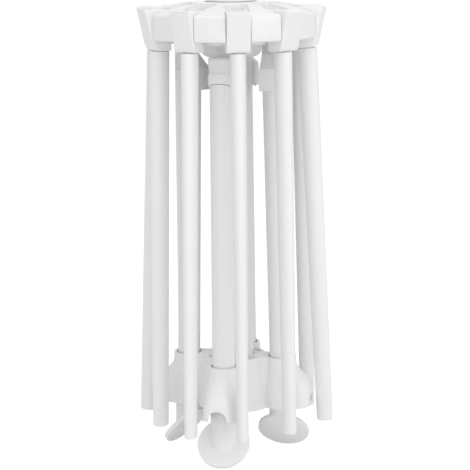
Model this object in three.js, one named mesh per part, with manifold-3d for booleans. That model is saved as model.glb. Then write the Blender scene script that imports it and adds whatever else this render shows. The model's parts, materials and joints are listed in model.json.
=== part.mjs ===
// A folding pasta drying rack, folded away. Ten arms hang round a hub, and the four legs of its
// stand are pushed up through a cross-shaped spreader. A post joins the hub to the spreader.
// Units are millimetres and +Z is up. The origin is on the worktop, on the post's axis.

import * as THREE from "three";
import { mergeVertices } from "three/addons/utils/BufferGeometryUtils.js";
import Module from "manifold-3d";

const wasm = await Module();
wasm.setup();

// Counts
const ARM_COUNT = 10;
const LEG_COUNT = 4;

// Fits
const SEAT_GAP = 0.3;
const SLIDE_GAP = 0.8;
const STOP_GAP = 0.5;

// Heights of the main pieces
const FOOT_DROP = 25.4;
const SPREADER_HEIGHT = 27.5;
const COLUMN_LENGTH = 169.6;

// Hub
const HUB_RADIUS = 46;
const HUB_RIM_HEIGHT = 13.2;
const HUB_DOME_RISE = 5;
const HUB_EDGE = 0.9;
const BOSS_RADIUS = 15.7;
const BOSS_DEPTH = 10.3;
const BOSS_ROUND = 4;

// Cap over the hub's screw
const CAP_RADIUS = 13.4;
const CAP_THICKNESS = 2.4;
const CAP_EDGE = 0.8;
const CAP_SPIGOT_RADIUS = 10;
const CAP_SPIGOT_DEPTH = 3;

// Arm hinges
const PIN_INSET = 18;
const PIN_HEIGHT = 8.5;
const PIN_RADIUS = 1.5;
const PIN_LENGTH = 14.5;
const LUG_RADIUS = 7;
const LUG_WIDTH = 8.6;
const RETAINER_THICKNESS = 2;
const RETAINER_MARGIN = 5;

// Arm heads
const HEAD_WIDTH = 12;
const HEAD_PROUD = 3.4;
const HEAD_RISE = 6.2;
const HEAD_DROP = 14.2;
const HEAD_TAPER = 4.4;
const HEAD_ROUND = 3.2;
const HEAD_TOP_EDGE = 0.8;

// Arm rods, which are oval: deeper from front to back than they are wide
const ROD_OFFSET = 11.4;
const ROD_ROOT_WIDTH = 8.2;
const ROD_ROOT_DEPTH = 10.4;
const ROD_TIP_WIDTH = 5.7;
const ROD_TIP_DEPTH = 8.5;
const ROD_LENGTH = 198.8;
const ROD_TIP_ROUND = 1;
const ROD_SPIGOT_RADIUS = 3;
const ROD_SPIGOT_LENGTH = 11;
const FREE_HANG = 1;
const NOSE_CLEARANCE = 2.1;
const FLANK_CLEARANCE = 1.05;

// Post and its screws
const POST_RADIUS = 10.3;
const POST_BORE_RADIUS = 7.5;
const POST_END_LENGTH = 16;
const BOSS_SEAT = 13;
const SPREADER_SEAT = 16;
const SCREW_RADIUS = 2;
const SCREW_LENGTH = 22;
const SCREW_HEAD_RADIUS = 3.8;
const SCREW_HEAD_HEIGHT = 2.6;

// Spreader
const LEG_CIRCLE_RADIUS = 25.4;
const NECK_WALL = 1.3;
const NECK_DEPTH = 3;
const BOOT_NOSE = 16.6;
const BOOT_NOSE_HEIGHT = 11.5;
const BOOT_SHOULDER_HEIGHT = 23.7;
const BOOT_HALF_WIDTH = 9.8;
const BOOT_TOE_RISE = 1.6;
const BOOT_WALL = 1.6;
const NOSE_POWER = 0.45;
const ARCH_HALF_WIDTH = 5.3;
const ARCH_HEIGHT = 7.2;
const WEB_HALF_WIDTH = 6;
const DRUM_FOOT_RADIUS = 20;
const DRUM_TOP_RADIUS = 16.5;
const DRUM_WALL = 1.6;
const DRUM_GROOVE = 5;
const SOCKET_WALL = 1.8;

// Legs
const LEG_LEAN = 1.15;
const TUBE_RADIUS = 6;
const TUBE_BORE_RADIUS = 4.5;
const LEG_SPIGOT_LENGTH = 10;
const LEG_HEAD_TO_HUB = 9;
const LEG_HEAD_HEIGHT = 15.2;
const LEG_HEAD_TOE = 8.6;
const LEG_HEAD_BROW = 6.4;
const LEG_HEAD_SLOPE = 21;
const LEG_COLLAR_HEIGHT = 7.2;
const LEG_COLLAR_WIDTH = 12.4;
const LEG_CROWN_WIDTH = 11.2;
const LEG_CROWN_INSET = 1.2;
const LEG_CROWN_FLAT = 1.5;
const LEG_CROWN_ROUND = 1.4;
const LEG_HEAD_CORNER = 3.5;

// Feet
const SLEEVE_RADIUS = 7.1;
const SLEEVE_ENTRY = 6.2;
const PAD_RADIUS = 13.75;
const PAD_THICKNESS = 2.4;
const PAD_OFFSET = 2;
const PAD_TILT = 50;

// Each leg can turn in its boot, and these are the turns that they are stored at
const LEG_NAMES = ["right", "rear", "left", "front"];
const LEG_TURNS = [90, 94, -24, 0];

// Facets
const HUB_SEGMENTS = 40;
const ROUND_SEGMENTS = 24;
const ROD_SEGMENTS = 16;
const PIN_SEGMENTS = 12;
const CORNER_SEGMENTS = 4;
const NOSE_STEPS = 14;
const HOOD_STEPS = 6;
const CUT_REACH = 100;
const CUT_OVERLAP = 1;

// Worked out from the sizes above
const rad = THREE.MathUtils.degToRad;
const spreaderTop = FOOT_DROP + SPREADER_HEIGHT;
const hubBottom = spreaderTop + COLUMN_LENGTH;
const rimTop = hubBottom + HUB_RIM_HEIGHT;
const hubTop = rimTop + HUB_DOME_RISE;
const bossBottom = hubBottom - BOSS_DEPTH;
const pinCircle = HUB_RADIUS - PIN_INSET;
const pinZ = hubBottom + PIN_HEIGHT;
const slotHalfWidth = LUG_WIDTH / 2 + SEAT_GAP;
const notchHalfWidth = HEAD_WIDTH / 2 + SEAT_GAP;
const knuckleRadius = LUG_RADIUS - SEAT_GAP;
const slotInner = -LUG_RADIUS - STOP_GAP;
const notchInner = -HEAD_RISE - STOP_GAP;
const screwHole = SCREW_RADIUS + SEAT_GAP;
const capFloor = hubTop - CAP_SPIGOT_DEPTH - SEAT_GAP;
const screwHeadDepth = SCREW_HEAD_HEIGHT + 2 * SEAT_GAP;
const tubeHole = TUBE_RADIUS + SLIDE_GAP;
const neckRadius = tubeHole + NECK_WALL;
const bootReach = LEG_CIRCLE_RADIUS + BOOT_NOSE;
const headSlope = Math.tan(rad(LEG_HEAD_SLOPE));
const legHeadTop = (COLUMN_LENGTH - LEG_HEAD_TO_HUB) / Math.cos(rad(LEG_LEAN));
const legHeadSeat = legHeadTop - LEG_HEAD_HEIGHT;
const sleeveTop = SLEEVE_ENTRY - SPREADER_HEIGHT;

const whitePlastic = { color: 0xf0f1f3, roughness: 0.38, metalness: 0 };
const steel = { color: 0xb9bcc0, roughness: 0.3, metalness: 1 };

// Solids and cuts

function solid(geometry) {
  const bare = geometry.clone();
  bare.deleteAttribute("normal");
  bare.deleteAttribute("uv");
  const merged = mergeVertices(bare, 1e-4);
  const vertProperties = merged.attributes.position.array;
  const triVerts = new Uint32Array(merged.index.array);
  return new wasm.Manifold(new wasm.Mesh({ numProp: 3, vertProperties, triVerts }));
}

function meshOf(manifold, name, look) {
  const { vertProperties, triVerts } = manifold.getMesh();
  const geometry = new THREE.BufferGeometry();
  geometry.setAttribute("position", new THREE.BufferAttribute(vertProperties, 3));
  geometry.setIndex(new THREE.BufferAttribute(triVerts, 1));
  geometry.computeVertexNormals();
  const mesh = new THREE.Mesh(geometry, new THREE.MeshStandardMaterial(look));
  mesh.name = name;
  return mesh;
}

// A solid of revolution about Z, from [radius, height] points that run up the outside
function turned(points, segments) {
  const profile = points.map(([radius, height]) => new THREE.Vector2(radius, height));
  return new THREE.LatheGeometry(profile, segments).rotateX(Math.PI / 2);
}

function rod(radius, bottom, top, segments) {
  return turned([[0, bottom], [radius, bottom], [radius, top], [0, top]], segments);
}

// A prism with its profile in X and Z, and its width centred on Y
function sidePrism(shape, width) {
  const options = { depth: width, bevelEnabled: false, curveSegments: CORNER_SEGMENTS };
  const geometry = new THREE.ExtrudeGeometry(shape, options);
  return geometry.rotateX(Math.PI / 2).translate(0, width / 2, 0);
}

// A prism with its outline in X and Y, standing on the height given
function uprightPrism(shape, bottom, height) {
  const options = { depth: height, bevelEnabled: false, curveSegments: 2 * CORNER_SEGMENTS };
  return new THREE.ExtrudeGeometry(shape, options).translate(0, 0, bottom);
}

function polygon(points) {
  return new THREE.Shape(points.map(([x, y]) => new THREE.Vector2(x, y)));
}

// A closed skin over rings of equal point counts, from the lowest ring to the highest
function loft(rings) {
  const count = rings[0].length;
  const points = rings.flat();
  const triangles = [];
  for (let ring = 0; ring < rings.length - 1; ring++) {
    for (let i = 0; i < count; i++) {
      const a = ring * count + i;
      const b = ring * count + ((i + 1) % count);
      triangles.push(a, b, b + count, a, b + count, a + count);
    }
  }
  const lastRing = (rings.length - 1) * count;
  for (let i = 1; i < count - 1; i++) {
    triangles.push(0, i + 1, i);
    triangles.push(lastRing, lastRing + i, lastRing + i + 1);
  }
  const geometry = new THREE.BufferGeometry().setFromPoints(points);
  return geometry.setIndex(triangles);
}

// Places round the hub and the spreader

function armAngle(index) {
  return (index * 360) / ARM_COUNT;
}

function legAngle(index) {
  return (index * 360) / LEG_COUNT;
}

// An arm hangs a little outwards: further where a boot of the spreader stands behind its rod
function hangAngle(index) {
  const rodCircle = pinCircle + ROD_OFFSET;
  const arm = pinZ - FOOT_DROP - BOOT_NOSE_HEIGHT;
  let needed = rodCircle + arm * Math.sin(rad(FREE_HANG));
  for (let leg = 0; leg < LEG_COUNT; leg++) {
    const apart = rad(armAngle(index) - legAngle(leg));
    if (Math.cos(apart) < Math.SQRT1_2) continue;
    const pastNose = (bootReach + ROD_TIP_DEPTH / 2 + NOSE_CLEARANCE) / Math.cos(apart);
    const flank = BOOT_HALF_WIDTH + ROD_TIP_WIDTH / 2 + FLANK_CLEARANCE;
    const besideBoot = flank / Math.abs(Math.sin(apart));
    needed = Math.max(needed, Math.min(pastNose, besideBoot));
  }
  return Math.asin((needed - rodCircle) / arm);
}

function stationAt(angle) {
  const station = new THREE.Group();
  station.rotation.z = rad(angle);
  return station;
}

// The frame of a leg: its origin is on the spreader's top, X points outwards, Z runs up the tube
function legFrame(index) {
  const frame = new THREE.Matrix4().makeRotationZ(rad(legAngle(index)));
  frame.multiply(new THREE.Matrix4().makeTranslation(LEG_CIRCLE_RADIUS, 0, spreaderTop));
  return frame.multiply(new THREE.Matrix4().makeRotationY(rad(-LEG_LEAN)));
}

// Hub, cap, pins and the ring that holds the pins

function hubBlank() {
  const profile = [[0, bossBottom]];
  for (let i = 0; i <= CORNER_SEGMENTS; i++) {
    const turn = (i / CORNER_SEGMENTS) * (Math.PI / 2);
    const radius = BOSS_RADIUS - BOSS_ROUND * (1 - Math.sin(turn));
    profile.push([radius, bossBottom + BOSS_ROUND * (1 - Math.cos(turn))]);
  }
  profile.push([BOSS_RADIUS, hubBottom]);
  profile.push([HUB_RADIUS - HUB_EDGE, hubBottom]);
  profile.push([HUB_RADIUS, hubBottom + HUB_EDGE]);
  profile.push([HUB_RADIUS, rimTop - HUB_EDGE]);
  const domeOuter = HUB_RADIUS - HUB_EDGE;
  for (let i = 0; i <= CORNER_SEGMENTS; i++) {
    const share = i / CORNER_SEGMENTS;
    const radius = domeOuter + (CAP_RADIUS - domeOuter) * share;
    profile.push([radius, rimTop + HUB_DOME_RISE * (1 - (1 - share) ** 2)]);
  }
  profile.push([0, hubTop]);
  return solid(turned(profile, HUB_SEGMENTS));
}

// What one arm needs cut from the hub: a slot for its lug, a notch for its head with a round
// knuckle left on each side of the lug, and a groove for its pin that opens downwards
function hingeCut() {
  const slot = polygon([
    [slotInner, -CUT_REACH],
    [CUT_REACH, -CUT_REACH],
    [CUT_REACH, CUT_REACH],
    [slotInner, CUT_REACH],
  ]);
  const notch = new THREE.Shape();
  notch.moveTo(CUT_REACH, -CUT_REACH);
  notch.lineTo(CUT_REACH, CUT_REACH);
  notch.lineTo(notchInner, CUT_REACH);
  notch.lineTo(notchInner, knuckleRadius);
  notch.lineTo(0, knuckleRadius);
  notch.absarc(0, 0, knuckleRadius, Math.PI / 2, 0, true);
  notch.lineTo(knuckleRadius, -CUT_REACH);
  const grooveRadius = PIN_RADIUS + SEAT_GAP;
  const groove = new THREE.Shape();
  groove.moveTo(-grooveRadius, -CUT_REACH);
  groove.lineTo(grooveRadius, -CUT_REACH);
  groove.lineTo(grooveRadius, 0);
  groove.absarc(0, 0, grooveRadius, 0, Math.PI, false);
  const cut = solid(sidePrism(slot, 2 * slotHalfWidth));
  return cut
    .add(solid(sidePrism(notch, 2 * notchHalfWidth)))
    .add(solid(sidePrism(groove, PIN_LENGTH + 2 * SEAT_GAP)));
}

function placed(manifold, matrix) {
  return manifold.transform(matrix.elements);
}

function makeHub() {
  let hub = hubBlank();
  const cut = hingeCut();
  for (let arm = 0; arm < ARM_COUNT; arm++) {
    const place = new THREE.Matrix4().makeRotationZ(rad(armAngle(arm)));
    place.multiply(new THREE.Matrix4().makeTranslation(pinCircle, 0, pinZ));
    hub = hub.subtract(placed(cut, place));
  }
  const boreBottom = bossBottom - CUT_OVERLAP;
  const boreTop = bossBottom + BOSS_SEAT;
  const postBore = rod(POST_RADIUS + SEAT_GAP, boreBottom, boreTop, ROUND_SEGMENTS);
  const capSeat = rod(CAP_SPIGOT_RADIUS + SEAT_GAP, capFloor, hubTop + CUT_OVERLAP, ROUND_SEGMENTS);
  const headSeat = rod(SCREW_HEAD_RADIUS + SEAT_GAP, capFloor - screwHeadDepth, hubTop, PIN_SEGMENTS);
  const screwBore = rod(screwHole, bossBottom, hubTop, PIN_SEGMENTS);
  for (const bore of [postBore, capSeat, headSeat, screwBore]) hub = hub.subtract(solid(bore));
  return meshOf(hub, "hub", whitePlastic);
}

function makeCap() {
  const underside = hubTop + SEAT_GAP;
  const top = underside + CAP_THICKNESS;
  const spigotBottom = underside - CAP_SPIGOT_DEPTH;
  const profile = [
    [0, spigotBottom],
    [CAP_SPIGOT_RADIUS, spigotBottom],
    [CAP_SPIGOT_RADIUS, underside],
    [CAP_RADIUS, underside],
    [CAP_RADIUS, top - CAP_EDGE],
    [CAP_RADIUS - CAP_EDGE, top],
    [0, top],
  ];
  return meshOf(solid(turned(profile, 2 * ROUND_SEGMENTS)), "hub_cap", whitePlastic);
}

function makePin(name) {
  const pin = rod(PIN_RADIUS, -PIN_LENGTH / 2, PIN_LENGTH / 2, PIN_SEGMENTS);
  return meshOf(solid(pin.rotateX(Math.PI / 2)), name, steel);
}

// A flat ring with two fingers under every pin
function makeRetainer() {
  const top = hubBottom - SEAT_GAP;
  const bottom = top - RETAINER_THICKNESS;
  const inner = BOSS_RADIUS + SEAT_GAP;
  const outer = pinCircle + RETAINER_MARGIN;
  const section = [[inner, bottom], [outer, bottom], [outer, top], [inner, top], [inner, bottom]];
  let ring = solid(turned(section, HUB_SEGMENTS));
  const fingerTop = pinZ - PIN_RADIUS - SEAT_GAP;
  const fingerInner = slotHalfWidth + SEAT_GAP;
  const fingerLength = PIN_LENGTH / 2 - fingerInner;
  const fingerHeight = fingerTop - bottom;
  for (let arm = 0; arm < ARM_COUNT; arm++) {
    for (const side of [-1, 1]) {
      const finger = new THREE.BoxGeometry(2 * PIN_RADIUS, fingerLength, fingerHeight);
      const across = side * (fingerInner + fingerLength / 2);
      finger.translate(pinCircle, across, bottom + fingerHeight / 2);
      ring = ring.add(solid(finger.rotateZ(rad(armAngle(arm)))));
    }
  }
  return meshOf(ring, "pin_retainer", whitePlastic);
}

// Arms, drawn about the pin's axis with X outwards

function makeArmHead(name) {
  const lugTop = Math.min(LUG_RADIUS, HEAD_RISE);
  const lug = new THREE.Shape();
  lug.moveTo(ROD_OFFSET, -LUG_RADIUS);
  lug.lineTo(ROD_OFFSET, lugTop);
  lug.absarc(0, 0, LUG_RADIUS, Math.PI - Math.asin(lugTop / LUG_RADIUS), 1.5 * Math.PI, false);
  const faceTop = PIN_INSET + HEAD_PROUD;
  const faceFoot = faceTop - HEAD_TAPER;
  const block = new THREE.Shape();
  block.moveTo(LUG_RADIUS, -HEAD_DROP);
  block.lineTo(faceFoot - HEAD_ROUND, -HEAD_DROP);
  block.quadraticCurveTo(faceFoot, -HEAD_DROP, faceFoot, HEAD_ROUND - HEAD_DROP);
  block.lineTo(faceTop, HEAD_RISE - HEAD_TOP_EDGE);
  block.lineTo(faceTop - HEAD_TOP_EDGE, HEAD_RISE);
  block.lineTo(LUG_RADIUS, HEAD_RISE);
  const pinHole = rod(PIN_RADIUS + SEAT_GAP, -LUG_WIDTH, LUG_WIDTH, PIN_SEGMENTS).rotateX(Math.PI / 2);
  const socketTop = ROD_SPIGOT_LENGTH - HEAD_DROP;
  const socket = rod(ROD_SPIGOT_RADIUS + SEAT_GAP, -HEAD_DROP - CUT_OVERLAP, socketTop, PIN_SEGMENTS);
  const head = solid(sidePrism(lug, LUG_WIDTH)).add(solid(sidePrism(block, HEAD_WIDTH)));
  const bored = head.subtract(solid(pinHole)).subtract(solid(socket.translate(ROD_OFFSET, 0, 0)));
  return meshOf(bored, name, whitePlastic);
}

function ovalRing(depth, width, height) {
  const ring = [];
  for (let i = 0; i < ROD_SEGMENTS; i++) {
    const turn = (i / ROD_SEGMENTS) * 2 * Math.PI;
    const x = ROD_OFFSET + (depth / 2) * Math.cos(turn);
    ring.push(new THREE.Vector3(x, (width / 2) * Math.sin(turn), height));
  }
  return ring;
}

function makeArmRod(name) {
  const root = -HEAD_DROP - SEAT_GAP;
  const tip = root - ROD_LENGTH;
  const rings = [];
  for (let i = 0; i <= CORNER_SEGMENTS; i++) {
    const turn = (i / CORNER_SEGMENTS) * (Math.PI / 2);
    const inset = 2 * ROD_TIP_ROUND * (1 - Math.sin(turn));
    const height = tip + ROD_TIP_ROUND * (1 - Math.cos(turn));
    rings.push(ovalRing(ROD_TIP_DEPTH - inset, ROD_TIP_WIDTH - inset, height));
  }
  rings.push(ovalRing(ROD_ROOT_DEPTH, ROD_ROOT_WIDTH, root));
  const spigot = rod(ROD_SPIGOT_RADIUS, root - CUT_OVERLAP, root + ROD_SPIGOT_LENGTH, PIN_SEGMENTS);
  const body = solid(loft(rings)).add(solid(spigot.translate(ROD_OFFSET, 0, 0)));
  return meshOf(body, name, whitePlastic);
}

function makeArmStation(index) {
  const label = String(index + 1).padStart(2, "0");
  const station = stationAt(armAngle(index));
  const pin = makePin(`arm_pin_${label}`);
  pin.position.set(pinCircle, 0, pinZ);
  const arm = new THREE.Group();
  arm.position.copy(pin.position);
  arm.rotation.y = -hangAngle(index);
  arm.add(makeArmHead(`arm_head_${label}`), makeArmRod(`arm_rod_${label}`));
  station.add(pin, arm);
  return station;
}

// Post and screws

function makePost() {
  const bottom = spreaderTop - SPREADER_SEAT + SEAT_GAP;
  const top = bossBottom + BOSS_SEAT - SEAT_GAP;
  const profile = [
    [screwHole, bottom],
    [POST_RADIUS, bottom],
    [POST_RADIUS, top],
    [screwHole, top],
    [screwHole, top - POST_END_LENGTH],
    [POST_BORE_RADIUS, top - POST_END_LENGTH],
    [POST_BORE_RADIUS, bottom + POST_END_LENGTH],
    [screwHole, bottom + POST_END_LENGTH],
    [screwHole, bottom],
  ];
  return meshOf(solid(turned(profile, ROUND_SEGMENTS)), "post", whitePlastic);
}

// A screw with its head's seat at height 0 and its shank pointing down
function makeScrew(name) {
  const edge = SCREW_HEAD_HEIGHT / 3;
  const profile = [
    [0, -SCREW_LENGTH],
    [SCREW_RADIUS, SCREW_RADIUS - SCREW_LENGTH],
    [SCREW_RADIUS, 0],
    [SCREW_HEAD_RADIUS, 0],
    [SCREW_HEAD_RADIUS, SCREW_HEAD_HEIGHT - edge],
    [SCREW_HEAD_RADIUS - edge, SCREW_HEAD_HEIGHT],
    [0, SCREW_HEAD_HEIGHT],
  ];
  return meshOf(solid(turned(profile, PIN_SEGMENTS)), name, steel);
}

function makeHubScrew() {
  const screw = makeScrew("hub_screw");
  screw.position.z = capFloor - screwHeadDepth + SEAT_GAP;
  return screw;
}

function makeSpreaderScrew() {
  const screw = makeScrew("spreader_screw");
  screw.rotation.x = Math.PI;
  screw.position.z = FOOT_DROP + screwHeadDepth - SEAT_GAP;
  return screw;
}

// Spreader

// The outline of a boot at one height above the spreader's underside. Its nose is round at the
// neck and squarer at the foot, and its back is round for a shell or almost flat for a hollow.
function bootRing(height, inset, roundBack) {
  const rise = THREE.MathUtils.clamp(height / SPREADER_HEIGHT, 0, 1);
  const halfWidth = THREE.MathUtils.lerp(BOOT_HALF_WIDTH, neckRadius, rise) - inset;
  const power = THREE.MathUtils.lerp(NOSE_POWER, 1, rise);
  const slope = THREE.MathUtils.smoothstep(height, BOOT_NOSE_HEIGHT, BOOT_SHOULDER_HEIGHT);
  const nose = THREE.MathUtils.lerp(BOOT_NOSE, neckRadius, slope) - inset;
  const back = roundBack ? halfWidth : CUT_OVERLAP;
  const ring = [];
  for (let i = 0; i < 2 * NOSE_STEPS; i++) {
    const turn = (i / NOSE_STEPS - 0.5) * Math.PI;
    const ahead = Math.cos(turn);
    const aside = Math.sin(turn);
    const bend = i <= NOSE_STEPS ? power : 1;
    const reach = i <= NOSE_STEPS ? nose : back;
    const out = reach * Math.sign(ahead) * Math.abs(ahead) ** bend;
    const across = halfWidth * Math.sign(aside) * Math.abs(aside) ** bend;
    ring.push(new THREE.Vector3(LEG_CIRCLE_RADIUS + out, across, FOOT_DROP + height));
  }
  return ring;
}

// Heights at which a boot's outline is drawn, closer together over the slope of its hood
function hoodHeights(foot, drop, top) {
  const heights = [foot];
  for (let i = 0; i <= HOOD_STEPS; i++) {
    heights.push(THREE.MathUtils.lerp(BOOT_NOSE_HEIGHT, BOOT_SHOULDER_HEIGHT, i / HOOD_STEPS) - drop);
  }
  return [...heights, top];
}

// The outside of a boot, with an underside that rises towards its toe
function bootShell() {
  const rings = hoodHeights(0, 0, SPREADER_HEIGHT).map((height) => bootRing(height, 0, true));
  const under = polygon([
    [LEG_CIRCLE_RADIUS, FOOT_DROP],
    [LEG_CIRCLE_RADIUS, FOOT_DROP - CUT_OVERLAP],
    [bootReach + CUT_OVERLAP, FOOT_DROP - CUT_OVERLAP],
    [bootReach + CUT_OVERLAP, FOOT_DROP + BOOT_TOE_RISE],
  ]);
  return solid(loft(rings)).subtract(solid(sidePrism(under, 4 * BOOT_HALF_WIDTH)));
}

function bootHollow() {
  const ceiling = SPREADER_HEIGHT - NECK_DEPTH;
  const heights = hoodHeights(-CUT_OVERLAP, BOOT_WALL, ceiling);
  const hood = solid(loft(heights.map((height) => bootRing(height, BOOT_WALL, false))));
  const straight = ARCH_HEIGHT - ARCH_HALF_WIDTH;
  const arch = new THREE.Shape();
  arch.moveTo(-ARCH_HALF_WIDTH, -CUT_OVERLAP);
  arch.lineTo(ARCH_HALF_WIDTH, -CUT_OVERLAP);
  arch.lineTo(ARCH_HALF_WIDTH, straight);
  arch.absarc(0, straight, ARCH_HALF_WIDTH, 0, Math.PI, false);
  const door = sidePrism(arch, 2 * BOOT_NOSE).rotateZ(Math.PI / 2);
  door.translate(LEG_CIRCLE_RADIUS + 1.5 * BOOT_NOSE, 0, FOOT_DROP);
  return hood.add(solid(door));
}

// A drum round the post, wider at its foot, with a groove in its top that the webs divide
function drum() {
  const wallInner = DRUM_TOP_RADIUS - DRUM_WALL;
  const ringOuter = POST_RADIUS + SEAT_GAP + SOCKET_WALL;
  const grooveFloor = spreaderTop - DRUM_GROOVE;
  const profile = [
    [0, FOOT_DROP],
    [DRUM_FOOT_RADIUS, FOOT_DROP],
    [DRUM_TOP_RADIUS, spreaderTop],
    [wallInner, spreaderTop],
    [wallInner, grooveFloor],
    [ringOuter, grooveFloor],
    [ringOuter, spreaderTop],
    [0, spreaderTop],
  ];
  return solid(turned(profile, HUB_SEGMENTS));
}

// A web joins the drum to a boot
function webBar() {
  const bar = new THREE.BoxGeometry(LEG_CIRCLE_RADIUS, 2 * WEB_HALF_WIDTH, SPREADER_HEIGHT);
  return solid(bar.translate(LEG_CIRCLE_RADIUS / 2, 0, FOOT_DROP + SPREADER_HEIGHT / 2));
}

function makeSpreader() {
  let spreader = drum();
  const boot = bootShell().add(webBar());
  const hollow = bootHollow();
  const tubeBore = solid(rod(tubeHole, -2 * SPREADER_HEIGHT, SPREADER_HEIGHT, ROUND_SEGMENTS));
  const sleeveStop = sleeveTop + STOP_GAP;
  const sleeveHole = SLEEVE_RADIUS + SLIDE_GAP;
  const sleeveBore = solid(rod(sleeveHole, -2 * SPREADER_HEIGHT, sleeveStop, ROUND_SEGMENTS));
  const legs = LEG_NAMES.map((name, leg) => ({
    upright: new THREE.Matrix4().makeRotationZ(rad(legAngle(leg))),
    leaning: legFrame(leg),
  }));
  for (const { upright } of legs) spreader = spreader.add(placed(boot, upright));
  for (const { upright, leaning } of legs) {
    spreader = spreader.subtract(placed(hollow, upright));
    for (const cut of [tubeBore, sleeveBore]) spreader = spreader.subtract(placed(cut, leaning));
  }
  const socketTop = spreaderTop + CUT_OVERLAP;
  const socket = rod(POST_RADIUS + SEAT_GAP, spreaderTop - SPREADER_SEAT, socketTop, ROUND_SEGMENTS);
  const seatTop = FOOT_DROP + screwHeadDepth;
  const headSeat = rod(SCREW_HEAD_RADIUS + SEAT_GAP, FOOT_DROP - CUT_OVERLAP, seatTop, PIN_SEGMENTS);
  const screwBore = rod(screwHole, FOOT_DROP, spreaderTop, PIN_SEGMENTS);
  for (const bore of [socket, headSeat, screwBore]) spreader = spreader.subtract(solid(bore));
  return meshOf(spreader, "spreader", whitePlastic);
}

// Legs, drawn in the frame of a leg that isn't turned

// Everything above a plane through the leg's axis at the height given, which rises outwards
function aboveSlope(height) {
  const space = polygon([
    [-CUT_REACH, height - CUT_REACH * headSlope],
    [CUT_REACH, height + CUT_REACH * headSlope],
    [CUT_REACH, height + 2 * CUT_REACH],
    [-CUT_REACH, height + 2 * CUT_REACH],
  ]);
  return solid(sidePrism(space, CUT_REACH));
}

function makeTube(name) {
  const bottom = sleeveTop + SEAT_GAP;
  const top = legHeadTop;
  const section = [
    [TUBE_BORE_RADIUS, bottom],
    [TUBE_RADIUS, bottom],
    [TUBE_RADIUS, top],
    [TUBE_BORE_RADIUS, top],
    [TUBE_BORE_RADIUS, bottom],
  ];
  const tube = solid(turned(section, ROUND_SEGMENTS));
  return meshOf(tube.subtract(aboveSlope(legHeadSeat - SEAT_GAP)), name, whitePlastic);
}

// A leg head from above: square towards the post, with round corners on its outer side
function legHeadPlan() {
  const half = LEG_COLLAR_WIDTH / 2;
  const corner = LEG_HEAD_BROW - LEG_HEAD_CORNER;
  const plan = new THREE.Shape();
  plan.moveTo(-LEG_HEAD_TOE, -half);
  plan.lineTo(corner, -half);
  plan.quadraticCurveTo(LEG_HEAD_BROW, -half, LEG_HEAD_BROW, LEG_HEAD_CORNER - half);
  plan.lineTo(LEG_HEAD_BROW, half - LEG_HEAD_CORNER);
  plan.quadraticCurveTo(LEG_HEAD_BROW, half, corner, half);
  plan.lineTo(-LEG_HEAD_TOE, half);
  return solid(uprightPrism(plan, legHeadSeat - LEG_HEAD_HEIGHT, 2 * LEG_HEAD_HEIGHT + CUT_OVERLAP));
}

function makeLegHead(name) {
  const collarTop = legHeadSeat + LEG_COLLAR_HEIGHT;
  const collar = polygon([
    [-LEG_HEAD_TOE, legHeadSeat - LEG_HEAD_TOE * headSlope],
    [LEG_HEAD_BROW, legHeadSeat + LEG_HEAD_BROW * headSlope],
    [LEG_HEAD_BROW, collarTop],
    [-LEG_HEAD_TOE, collarTop],
  ]);
  const face = LEG_HEAD_BROW - LEG_CROWN_INSET;
  const chamferFoot = legHeadTop - (LEG_HEAD_TOE - LEG_CROWN_FLAT);
  const crownFoot = Math.min(collarTop, chamferFoot) - CUT_OVERLAP;
  const crown = new THREE.Shape();
  crown.moveTo(-LEG_HEAD_TOE, crownFoot);
  crown.lineTo(face, crownFoot);
  crown.lineTo(face, legHeadTop - LEG_CROWN_ROUND);
  crown.quadraticCurveTo(face, legHeadTop, face - LEG_CROWN_ROUND, legHeadTop);
  crown.lineTo(-LEG_CROWN_FLAT, legHeadTop);
  crown.lineTo(-LEG_HEAD_TOE, chamferFoot);
  const spigotBottom = legHeadSeat - LEG_SPIGOT_LENGTH;
  const spigot = rod(TUBE_BORE_RADIUS - SEAT_GAP, spigotBottom, collarTop, ROUND_SEGMENTS);
  const head = solid(sidePrism(collar, LEG_COLLAR_WIDTH))
    .add(solid(sidePrism(crown, LEG_CROWN_WIDTH)))
    .intersect(legHeadPlan())
    .add(solid(spigot));
  return meshOf(head, name, whitePlastic);
}

// The pad's underside meets the worktop at its outer rim. These place that point from its middle.
const padTilt = rad(PAD_TILT);
const padRimOut = PAD_RADIUS * Math.cos(padTilt) - (PAD_THICKNESS / 2) * Math.sin(padTilt);
const padRimDown = PAD_RADIUS * Math.sin(padTilt) + (PAD_THICKNESS / 2) * Math.cos(padTilt);
const padReach = PAD_OFFSET + padRimOut;
const padMiddle = padRimDown - spreaderTop / Math.cos(rad(LEG_LEAN)) - padReach * Math.tan(rad(LEG_LEAN));

function padPlace() {
  const place = new THREE.Matrix4().makeTranslation(PAD_OFFSET, 0, padMiddle);
  return place.multiply(new THREE.Matrix4().makeRotationY(padTilt));
}

function makeFoot(name) {
  const half = PAD_THICKNESS / 2;
  const sleeve = rod(SLEEVE_RADIUS, padMiddle - 2 * PAD_RADIUS, sleeveTop, ROUND_SEGMENTS);
  const spigotTop = sleeveTop + LEG_SPIGOT_LENGTH;
  const spigot = rod(TUBE_BORE_RADIUS - SEAT_GAP, sleeveTop - CUT_OVERLAP, spigotTop, ROUND_SEGMENTS);
  const pad = solid(rod(PAD_RADIUS, -half, half, 2 * ROUND_SEGMENTS));
  const below = solid(rod(CUT_REACH, -CUT_REACH, -half, PIN_SEGMENTS));
  const place = padPlace();
  const foot = solid(sleeve)
    .subtract(placed(below, place))
    .add(placed(pad, place))
    .add(solid(spigot));
  return meshOf(foot, name, whitePlastic);
}

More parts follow.
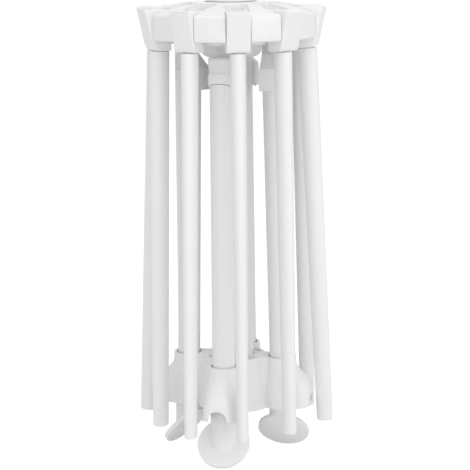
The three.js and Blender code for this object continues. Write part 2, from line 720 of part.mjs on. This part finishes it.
function makeLegStation(index) {
  const name = LEG_NAMES[index];
  const turn = rad(LEG_TURNS[index]);
  const station = new THREE.Group();
  station.applyMatrix4(legFrame(index));
  const leg = new THREE.Group();
  leg.rotation.z = turn;
  leg.position.z = padReach * Math.tan(rad(LEG_LEAN)) * (1 - Math.cos(turn));
  leg.add(makeTube(`leg_tube_${name}`), makeLegHead(`leg_head_${name}`), makeFoot(`foot_${name}`));
  station.add(leg);
  return station;
}

// The whole rack
const rack = new THREE.Group();
rack.add(makeHub(), makeCap(), makeRetainer(), makeHubScrew());
rack.add(makePost(), makeSpreader(), makeSpreaderScrew());
for (let arm = 0; arm < ARM_COUNT; arm++) rack.add(makeArmStation(arm));
for (let leg = 0; leg < LEG_COUNT; leg++) rack.add(makeLegStation(leg));

export default rack;
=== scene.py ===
"""A folding pasta drying rack in white moulded plastic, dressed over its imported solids."""
import json
import math

import bmesh
import bpy
from mathutils import Matrix, Vector


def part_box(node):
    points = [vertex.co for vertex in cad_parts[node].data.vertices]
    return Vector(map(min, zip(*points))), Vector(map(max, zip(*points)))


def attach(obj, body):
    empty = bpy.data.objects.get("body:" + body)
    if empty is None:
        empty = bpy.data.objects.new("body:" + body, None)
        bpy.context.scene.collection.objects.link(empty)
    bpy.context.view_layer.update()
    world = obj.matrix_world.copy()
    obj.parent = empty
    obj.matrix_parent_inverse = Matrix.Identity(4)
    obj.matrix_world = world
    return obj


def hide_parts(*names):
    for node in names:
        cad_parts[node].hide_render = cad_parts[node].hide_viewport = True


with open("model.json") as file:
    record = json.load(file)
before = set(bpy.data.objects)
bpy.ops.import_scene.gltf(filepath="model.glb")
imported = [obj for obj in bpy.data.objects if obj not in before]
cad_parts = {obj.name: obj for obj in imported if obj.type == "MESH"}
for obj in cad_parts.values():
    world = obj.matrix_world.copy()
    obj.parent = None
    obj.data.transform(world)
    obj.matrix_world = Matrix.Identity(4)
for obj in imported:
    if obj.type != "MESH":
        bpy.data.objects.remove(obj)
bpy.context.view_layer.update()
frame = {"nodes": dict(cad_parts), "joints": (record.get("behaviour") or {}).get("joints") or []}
nodes = frame["nodes"]
joints = {joint["name"]: joint for joint in frame["joints"]}
scene = bpy.context.scene

MM = 0.001

# Sizes shared with the solids, in millimetres and degrees
SEAT_GAP = 0.3
HEAD_DROP = 14.2
HEAD_WIDTH = 12.0
HEAD_BACK = 7.0
ROD_OFFSET = 11.4
ROD_ROOT_WIDTH = 8.2
ROD_ROOT_DEPTH = 10.4
ROD_TIP_WIDTH = 5.7
ROD_TIP_DEPTH = 8.5
ROD_LENGTH = 198.8
ROD_TIP_ROUND = 1.0
ROD_SPIGOT_RADIUS = 3.0
ROD_SPIGOT_LENGTH = 11.0
PIN_RADIUS = 1.5
PIN_LENGTH = 14.5
LEG_CIRCLE_RADIUS = 25.4
SPREADER_TOP = 52.9
LEG_LEAN = 1.15
TUBE_RADIUS = 6.0
TUBE_BORE_RADIUS = 4.5
TUBE_BOTTOM = -21.0
TUBE_TOP = 145.13
TUBE_TOP_SLOPE = 21.0
CAP_RADIUS = 13.4
CAP_THICKNESS = 2.4
CAP_SPIGOT_RADIUS = 10.0
CAP_SPIGOT_DEPTH = 3.0
POST_RADIUS = 10.3
POST_BORE_RADIUS = 7.5
POST_END_LENGTH = 16.0
SCREW_HOLE = 2.3

LEG_NAMES = ["right", "rear", "left", "front"]
LEG_TURNS = [90, 94, -24, 0]
ARM_LABELS = [f"{number:02d}" for number in range(1, 11)]

# Small round edges of the spun pieces, in millimetres
ROD_ROOT_ROUND = 0.4
PIN_END_ROUND = 0.4
CAP_EDGE_ROUND = 1.0
TUBE_LIP = 0.25

# Round edges of the moulded pieces: size in millimetres, and the least corner in degrees
HEAD_SIDE_EDGE = {"size": 1.2, "corner": 40, "segments": 5}
HEAD_EDGE = {"size": 0.4, "corner": 50, "segments": 3}
COLUMN_EDGE = {"size": 0.5, "corner": 38, "segments": 3}
RETAINER_EDGE = {"size": 0.3, "corner": 38, "segments": 3}
FOOT_FILLET = {"size": 1.8, "corner": 25, "segments": 6}
LEG_END_EDGE = {"size": 0.7, "corner": 40, "segments": 4}
SMOOTH_LIMIT = 40

# Steps round the spun pieces, and along their small and large round edges
ROD_STEPS = 48
PIN_STEPS = 24
CAP_STEPS = 96
POST_STEPS = 64
TUBE_STEPS = 48
SMALL_ARC_STEPS = 4
CAP_ARC_STEPS = 6
TIP_ARC_STEPS = 8

# Tolerances, in millimetres and degrees
SPIN_SEAM = 0.001
MESH_SEAM = 0.002
FLAT_ANGLE = 0.5
SIDE_TOLERANCE = 0.1
BACK_MARGIN = 1.0

# Camera, in metres, millimetres of lens and degrees
CAMERA_AZIMUTH = 13.254
CAMERA_ELEVATION = 11.281
CAMERA_DISTANCE = 0.8378
CAMERA_AIM_ACROSS = 0.00084
CAMERA_AIM_HEIGHT = 0.1176
CAMERA_ROLL = -0.669
CAMERA_LENS = 120.87
CAMERA_SENSOR = 36
CAMERA_CLIP = 0.01

# Studio, in metres and watts: each softbox has its place, width and power
SOFTBOXES = {
    "front_softbox": ((0.2, -1.6, 0.3), 1.3, 4),
    "top_softbox": ((0.1, -0.3, 1.5), 1.7, 8),
    "side_softbox": ((1.3, -0.9, 0.3), 0.9, 4),
}
SOFTBOX_AIM = (0, 0, 0.12)
TENT_STRENGTH = 0.62
BACKDROP_STRENGTH = 1.0
FLOOR_GLOW = 0.88
FLOOR_HALF_WIDTH = 4
WHITE = (1, 1, 1, 1)

# Surfaces: sizes of their patterns in millimetres, and how far the roughness strays
FLOW_CLOUD_SIZE = 30
DRAWING_MARK_SIZE = 0.6
SKIN_DEPTH = 0.1
SMOOTHER = 0.05
ROUGHER = 0.07


def aim_camera():
    turn = math.radians(CAMERA_AZIMUTH)
    rise = math.radians(CAMERA_ELEVATION)
    back = Vector((math.sin(turn) * math.cos(rise), -math.cos(turn) * math.cos(rise), math.sin(rise)))
    across = Vector((math.cos(turn), math.sin(turn), 0))
    aim = across * CAMERA_AIM_ACROSS + Vector((0, 0, CAMERA_AIM_HEIGHT))
    lens = bpy.data.cameras.new("camera")
    lens.lens = CAMERA_LENS
    lens.sensor_width = CAMERA_SENSOR
    lens.clip_start = CAMERA_CLIP
    camera = bpy.data.objects.new("camera", lens)
    look = back.to_track_quat("Z", "Y").to_matrix().to_4x4()
    roll = Matrix.Rotation(math.radians(CAMERA_ROLL), 4, "Z")
    camera.matrix_world = Matrix.Translation(aim + back * CAMERA_DISTANCE) @ look @ roll
    scene.collection.objects.link(camera)
    scene.camera = camera


aim_camera()
scene.view_settings.view_transform = "Standard"


# Materials

def linear(hex_colour):
    """A linear colour from an sRGB hex value."""
    shares = [int(hex_colour[at:at + 2], 16) / 255 for at in (1, 3, 5)]
    return [s / 12.92 if s <= 0.04045 else ((s + 0.055) / 1.055) ** 2.4 for s in shares] + [1]


def add_node(tree, kind, settings=None, values=None, links=None):
    """Add one node, set its properties and sockets, and link its inputs."""
    node = tree.nodes.new(kind)
    for name, value in (settings or {}).items():
        setattr(node, name, value)
    for socket, value in (values or {}).items():
        node.inputs[socket].default_value = value
    for socket, source in (links or {}).items():
        tree.links.new(source, node.inputs[socket])
    return node


def new_surface(name):
    material = bpy.data.materials.new(name)
    material.use_nodes = True
    tree = material.node_tree
    tree.nodes.clear()
    return material, tree


def moulded_abs(name, light, shade, roughness, grit_size):
    """White ABS from a spark-eroded mould: a satin skin, faint flow clouds and a soft sheen."""
    material, tree = new_surface(name)
    place = add_node(tree, "ShaderNodeTexCoord")
    clouds = add_node(
        tree, "ShaderNodeTexNoise",
        values={"Scale": 1 / (FLOW_CLOUD_SIZE * MM), "Detail": 2.0, "Roughness": 0.5},
        links={"Vector": place.outputs["Object"]},
    )
    colour = add_node(
        tree, "ShaderNodeMix", {"data_type": "RGBA"},
        values={6: linear(light), 7: linear(shade)},
        links={0: clouds.outputs["Fac"]},
    )
    grit = add_node(
        tree, "ShaderNodeTexNoise",
        values={"Scale": 1 / (grit_size * MM), "Detail": 3.0, "Roughness": 0.6},
        links={"Vector": place.outputs["Object"]},
    )
    skin = add_node(
        tree, "ShaderNodeMapRange",
        values={"To Min": roughness - SMOOTHER, "To Max": roughness + ROUGHER},
        links={"Value": grit.outputs["Fac"]},
    )
    bump = add_node(
        tree, "ShaderNodeBump",
        values={"Strength": 0.06, "Distance": SKIN_DEPTH * MM},
        links={"Height": grit.outputs["Fac"]},
    )
    shader = add_node(
        tree, "ShaderNodeBsdfPrincipled",
        values={"IOR": 1.53},
        links={
            "Base Color": colour.outputs[2],
            "Roughness": skin.outputs["Result"],
            "Normal": bump.outputs["Normal"],
        },
    )
    add_node(tree, "ShaderNodeOutputMaterial", links={"Surface": shader.outputs["BSDF"]})
    return material


def drawn_steel():
    """Drawn steel wire: a grey metal with fine drawing marks that blur its highlights."""
    material, tree = new_surface("drawn_steel")
    place = add_node(tree, "ShaderNodeTexCoord")
    marks = add_node(
        tree, "ShaderNodeTexNoise",
        values={"Scale": 1 / (DRAWING_MARK_SIZE * MM), "Detail": 4.0, "Roughness": 0.6},
        links={"Vector": place.outputs["Object"]},
    )
    colour = add_node(
        tree, "ShaderNodeMix", {"data_type": "RGBA"},
        values={6: linear("#b4b8bc"), 7: linear("#8f9499")},
        links={0: marks.outputs["Fac"]},
    )
    skin = add_node(
        tree, "ShaderNodeMapRange",
        values={"To Min": 0.24, "To Max": 0.42},
        links={"Value": marks.outputs["Fac"]},
    )
    shader = add_node(
        tree, "ShaderNodeBsdfPrincipled",
        values={"Metallic": 1.0},
        links={"Base Color": colour.outputs[2], "Roughness": skin.outputs["Result"]},
    )
    add_node(tree, "ShaderNodeOutputMaterial", links={"Surface": shader.outputs["BSDF"]})
    return material


satin_abs = moulded_abs("satin_moulded_abs", "#f2f2f2", "#eeeeee", roughness=0.38, grit_size=0.7)
sleek_abs = moulded_abs("sleek_moulded_abs", "#f2f2f3", "#eeeeef", roughness=0.32, grit_size=1.1)
steel = drawn_steel()


# Shaping

def arc(radius, height, size, start, end, steps):
    """Points of a round corner in a profile, about its centre, between two angles in degrees."""
    turns = [math.radians(start + (end - start) * step / steps) for step in range(steps + 1)]
    return [(radius + size * math.cos(turn), height + size * math.sin(turn)) for turn in turns]


def spun(profile, steps, closed=False):
    """A body of revolution about Z, from (radius, height) points in millimetres."""
    work = bmesh.new()
    line = [work.verts.new((radius * MM, 0, height * MM)) for radius, height in profile]
    for first, second in zip(line, line[1:]):
        work.edges.new((first, second))
    if closed:
        work.edges.new((line[-1], line[0]))
    bmesh.ops.spin(
        work, geom=work.verts[:] + work.edges[:], cent=(0, 0, 0), axis=(0, 0, 1),
        angle=2 * math.pi, steps=steps, use_merge=True,
    )
    bmesh.ops.remove_doubles(work, verts=work.verts[:], dist=SPIN_SEAM * MM)
    bmesh.ops.recalc_face_normals(work, faces=work.faces[:])
    return work


def merged_copy(node):
    """A copy of a solid's mesh with its triangles joined and its flat faces made whole."""
    work = bmesh.new()
    work.from_mesh(nodes[node].data)
    bmesh.ops.remove_doubles(work, verts=work.verts[:], dist=MESH_SEAM * MM)
    bmesh.ops.dissolve_limit(
        work, angle_limit=math.radians(FLAT_ANGLE), verts=work.verts[:], edges=work.edges[:],
    )
    return work


def soften(work, size, corner, segments, chosen=None):
    """Round the edges that turn by more than the corner angle, or those of them that are chosen."""
    edges = [edge for edge in work.edges if len(edge.link_faces) == 2]
    edges = [edge for edge in edges if edge.calc_face_angle() > math.radians(corner)]
    if chosen:
        edges = [edge for edge in edges if chosen(edge)]
    bmesh.ops.bevel(
        work, geom=edges, offset=size * MM, offset_type="OFFSET", segments=segments,
        profile=0.5, affect="EDGES", material=-1, clamp_overlap=True, loop_slide=True,
    )


def dress(work, name, body, material, node):
    """Turn a finished bmesh into a piece that stands for a solid and moves with its body."""
    mesh = bpy.data.meshes.new(name)
    work.to_mesh(mesh)
    work.free()
    mesh.shade_smooth()
    mesh.set_sharp_from_angle(angle=math.radians(SMOOTH_LIMIT))
    mesh.materials.append(material)
    piece = bpy.data.objects.new(name, mesh)
    scene.collection.objects.link(piece)
    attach(piece, body)
    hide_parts(node)


# Arms

def arm_place(label):
    """The frame of an arm at rest: its origin is on the hinge pin and X points outwards."""
    hinge = joints[f"arm_{label}_hinge"]
    pivot = Vector(hinge["pos_m"])
    hang = math.radians(90 - hinge["range_deg"][1])
    turn = Matrix.Rotation(math.atan2(pivot.y, pivot.x), 4, "Z")
    return Matrix.Translation(pivot) @ turn @ Matrix.Rotation(-hang, 4, "Y")


def deepen_to_oval(work, tip, root):
    """Stretch a round rod from front to back until its section is oval, but leave its spigot round."""
    spigot_limit = (ROD_SPIGOT_RADIUS + ROD_ROOT_WIDTH / 2) / 2
    for vert in work.verts:
        height = vert.co.z / MM
        across = math.hypot(vert.co.x, vert.co.y) / MM
        if height > root - ROD_ROOT_ROUND and across < spigot_limit:
            continue
        share = (height - tip) / ROD_LENGTH
        depth = ROD_TIP_DEPTH + (ROD_ROOT_DEPTH - ROD_TIP_DEPTH) * share
        width = ROD_TIP_WIDTH + (ROD_ROOT_WIDTH - ROD_TIP_WIDTH) * share
        vert.co.x *= depth / width


def make_arm_rod(label):
    root = -HEAD_DROP - SEAT_GAP
    tip = root - ROD_LENGTH
    tip_arc = (ROD_TIP_WIDTH / 2 - ROD_TIP_ROUND, tip + ROD_TIP_ROUND, ROD_TIP_ROUND)
    root_arc = (ROD_ROOT_WIDTH / 2 - ROD_ROOT_ROUND, root - ROD_ROOT_ROUND, ROD_ROOT_ROUND)
    profile = [(0, tip)]
    profile += arc(*tip_arc, -90, 0, TIP_ARC_STEPS)
    profile += arc(*root_arc, 0, 90, SMALL_ARC_STEPS)
    profile += [(ROD_SPIGOT_RADIUS, root)]
    profile += [(ROD_SPIGOT_RADIUS, root + ROD_SPIGOT_LENGTH), (0, root + ROD_SPIGOT_LENGTH)]
    work = spun(profile, ROD_STEPS)
    deepen_to_oval(work, tip, root)
    place = arm_place(label) @ Matrix.Translation((ROD_OFFSET * MM, 0, 0))
    bmesh.ops.transform(work, matrix=place, verts=work.verts[:])
    dress(work, f"rod_{label}", f"arm_{label}", sleek_abs, f"arm_rod_{label}")


def make_arm_head(label):
    work = merged_copy(f"arm_head_{label}")
    inward = arm_place(label).inverted()

    def on_block_side(edge):
        ends = [inward @ vert.co / MM for vert in edge.verts]
        wide = all(abs(end.y) > HEAD_WIDTH / 2 - SIDE_TOLERANCE for end in ends)
        return wide and max(end.x for end in ends) > HEAD_BACK + BACK_MARGIN

    soften(work, **HEAD_SIDE_EDGE, chosen=on_block_side)
    soften(work, **HEAD_EDGE)
    dress(work, f"head_{label}", f"arm_{label}", satin_abs, f"arm_head_{label}")


def make_arm_pin(label):
    half = PIN_LENGTH / 2
    shoulder = PIN_RADIUS - PIN_END_ROUND
    profile = [(0, -half)]
    profile += arc(shoulder, PIN_END_ROUND - half, PIN_END_ROUND, -90, 0, SMALL_ARC_STEPS)
    profile += arc(shoulder, half - PIN_END_ROUND, PIN_END_ROUND, 0, 90, SMALL_ARC_STEPS)
    profile += [(0, half)]
    work = spun(profile, PIN_STEPS)
    hinge = joints[f"arm_{label}_hinge"]
    lie = Vector(hinge["axis"]).to_track_quat("Z", "Y").to_matrix().to_4x4()
    place = Matrix.Translation(Vector(hinge["pos_m"])) @ lie
    bmesh.ops.transform(work, matrix=place, verts=work.verts[:])
    dress(work, f"pin_{label}", "column", steel, f"arm_pin_{label}")


for label in ARM_LABELS:
    make_arm_rod(label)
    make_arm_head(label)
    make_arm_pin(label)


# Column

def make_column():
    edges = {"hub": COLUMN_EDGE, "pin_retainer": RETAINER_EDGE, "spreader": COLUMN_EDGE}
    for node, edge in edges.items():
        work = merged_copy(node)
        soften(work, **edge)
        dress(work, f"{node}_moulding", "column", satin_abs, node)


def make_cap():
    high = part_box("hub_cap")[1]
    top = high[2] / MM
    underside = top - CAP_THICKNESS
    profile = [(0, underside - CAP_SPIGOT_DEPTH), (CAP_SPIGOT_RADIUS, underside - CAP_SPIGOT_DEPTH)]
    profile += [(CAP_SPIGOT_RADIUS, underside), (CAP_RADIUS, underside)]
    profile += arc(CAP_RADIUS - CAP_EDGE_ROUND, top - CAP_EDGE_ROUND, CAP_EDGE_ROUND, 0, 90, CAP_ARC_STEPS)
    profile += [(0, top)]
    work = spun(profile, CAP_STEPS)
    dress(work, "cap_moulding", "column", satin_abs, "hub_cap")


def make_post():
    low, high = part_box("post")
    bottom = low[2] / MM
    top = high[2] / MM
    profile = [(SCREW_HOLE, bottom), (POST_RADIUS, bottom), (POST_RADIUS, top), (SCREW_HOLE, top)]
    profile += [(SCREW_HOLE, top - POST_END_LENGTH), (POST_BORE_RADIUS, top - POST_END_LENGTH)]
    profile += [(POST_BORE_RADIUS, bottom + POST_END_LENGTH), (SCREW_HOLE, bottom + POST_END_LENGTH)]
    work = spun(profile, POST_STEPS, closed=True)
    dress(work, "post_tube", "column", sleek_abs, "post")


make_column()
make_cap()
make_post()
for node in ("hub_screw", "spreader_screw"):
    nodes[node].data.materials.clear()
    nodes[node].data.materials.append(steel)


# Legs

def leg_place(index):
    """The frame of a leg: its origin is on the spreader's top and Z runs up the tube."""
    round_post = Matrix.Rotation(index * math.pi / 2, 4, "Z")
    outwards = Matrix.Translation((LEG_CIRCLE_RADIUS * MM, 0, SPREADER_TOP * MM))
    lean = Matrix.Rotation(math.radians(-LEG_LEAN), 4, "Y")
    return round_post @ outwards @ lean @ Matrix.Rotation(math.radians(LEG_TURNS[index]), 4, "Z")


def make_leg_tube(index, name):
    profile = [(TUBE_BORE_RADIUS, TUBE_BOTTOM), (TUBE_RADIUS - TUBE_LIP, TUBE_BOTTOM)]
    profile += [(TUBE_RADIUS, TUBE_BOTTOM + TUBE_LIP), (TUBE_RADIUS, TUBE_TOP), (TUBE_BORE_RADIUS, TUBE_TOP)]
    work = spun(profile, TUBE_STEPS, closed=True)
    for vert in work.verts:
        if vert.co.z > 0:
            vert.co.z += vert.co.x * math.tan(math.radians(TUBE_TOP_SLOPE))
    bmesh.ops.transform(work, matrix=leg_place(index), verts=work.verts[:])
    dress(work, f"tube_{name}", f"leg_{name}", sleek_abs, f"leg_tube_{name}")


def make_leg_ends(name):
    for node in (f"leg_head_{name}", f"foot_{name}"):
        work = merged_copy(node)
        if node.startswith("foot"):
            soften(work, **FOOT_FILLET, chosen=lambda edge: not edge.is_convex)
        soften(work, **LEG_END_EDGE)
        dress(work, f"{node}_moulding", f"leg_{name}", satin_abs, node)


for index, name in enumerate(LEG_NAMES):
    make_leg_tube(index, name)
    make_leg_ends(name)


# Studio

def sees_backdrop(tree):
    """A socket that is one for rays that show the white background, and zero for rays that light."""
    path = add_node(tree, "ShaderNodeLightPath")
    seen = add_node(
        tree, "ShaderNodeMath", {"operation": "MAXIMUM"},
        links={0: path.outputs["Is Camera Ray"], 1: path.outputs["Is Glossy Ray"]},
    )
    clear = add_node(
        tree, "ShaderNodeMath", {"operation": "MAXIMUM"},
        links={0: seen.outputs["Value"], 1: path.outputs["Is Transmission Ray"]},
    )
    return clear.outputs["Value"]


def make_floor():
    """White paper that bounces light as paper does, and that the camera sees as white."""
    material, tree = new_surface("white_paper_floor")
    paper = add_node(tree, "ShaderNodeBsdfDiffuse", values={"Color": linear("#f4f4f4")})
    thin_paper = add_node(tree, "ShaderNodeBsdfDiffuse", values={"Color": linear("#8c8c8c")})
    glow = add_node(tree, "ShaderNodeEmission", values={"Color": WHITE, "Strength": FLOOR_GLOW})
    bright = add_node(
        tree, "ShaderNodeAddShader", links={0: thin_paper.outputs["BSDF"], 1: glow.outputs["Emission"]},
    )
    shown = add_node(
        tree, "ShaderNodeMixShader",
        links={0: sees_backdrop(tree), 1: paper.outputs["BSDF"], 2: bright.outputs["Shader"]},
    )
    add_node(tree, "ShaderNodeOutputMaterial", links={"Surface": shown.outputs["Shader"]})
    work = bmesh.new()
    bmesh.ops.create_grid(work, x_segments=1, y_segments=1, size=FLOOR_HALF_WIDTH)
    mesh = bpy.data.meshes.new("floor")
    work.to_mesh(mesh)
    work.free()
    mesh.materials.append(material)
    floor = bpy.data.objects.new("floor", mesh)
    scene.collection.objects.link(floor)


def make_surroundings():
    """A tent of even light, which the camera sees as a white backdrop."""
    world = bpy.data.worlds.new("light_tent")
    world.use_nodes = True
    tree = world.node_tree
    tree.nodes.clear()
    tent = add_node(tree, "ShaderNodeBackground", values={"Color": WHITE, "Strength": TENT_STRENGTH})
    backdrop = add_node(tree, "ShaderNodeBackground", values={"Color": WHITE, "Strength": BACKDROP_STRENGTH})
    blend = add_node(
        tree, "ShaderNodeMixShader",
        links={0: sees_backdrop(tree), 1: tent.outputs["Background"], 2: backdrop.outputs["Background"]},
    )
    add_node(tree, "ShaderNodeOutputWorld", links={"Surface": blend.outputs["Shader"]})
    scene.world = world


def hang_softbox(name, spot, width, watts):
    light = bpy.data.lights.new(name, "AREA")
    light.shape = "SQUARE"
    light.size = width
    light.energy = watts
    lamp = bpy.data.objects.new(name, light)
    away = Vector(spot) - Vector(SOFTBOX_AIM)
    lamp.matrix_world = Matrix.Translation(spot) @ away.to_track_quat("Z", "Y").to_matrix().to_4x4()
    scene.collection.objects.link(lamp)


make_floor()
make_surroundings()
for name, (spot, width, watts) in SOFTBOXES.items():
    hang_softbox(name, spot, width, watts)
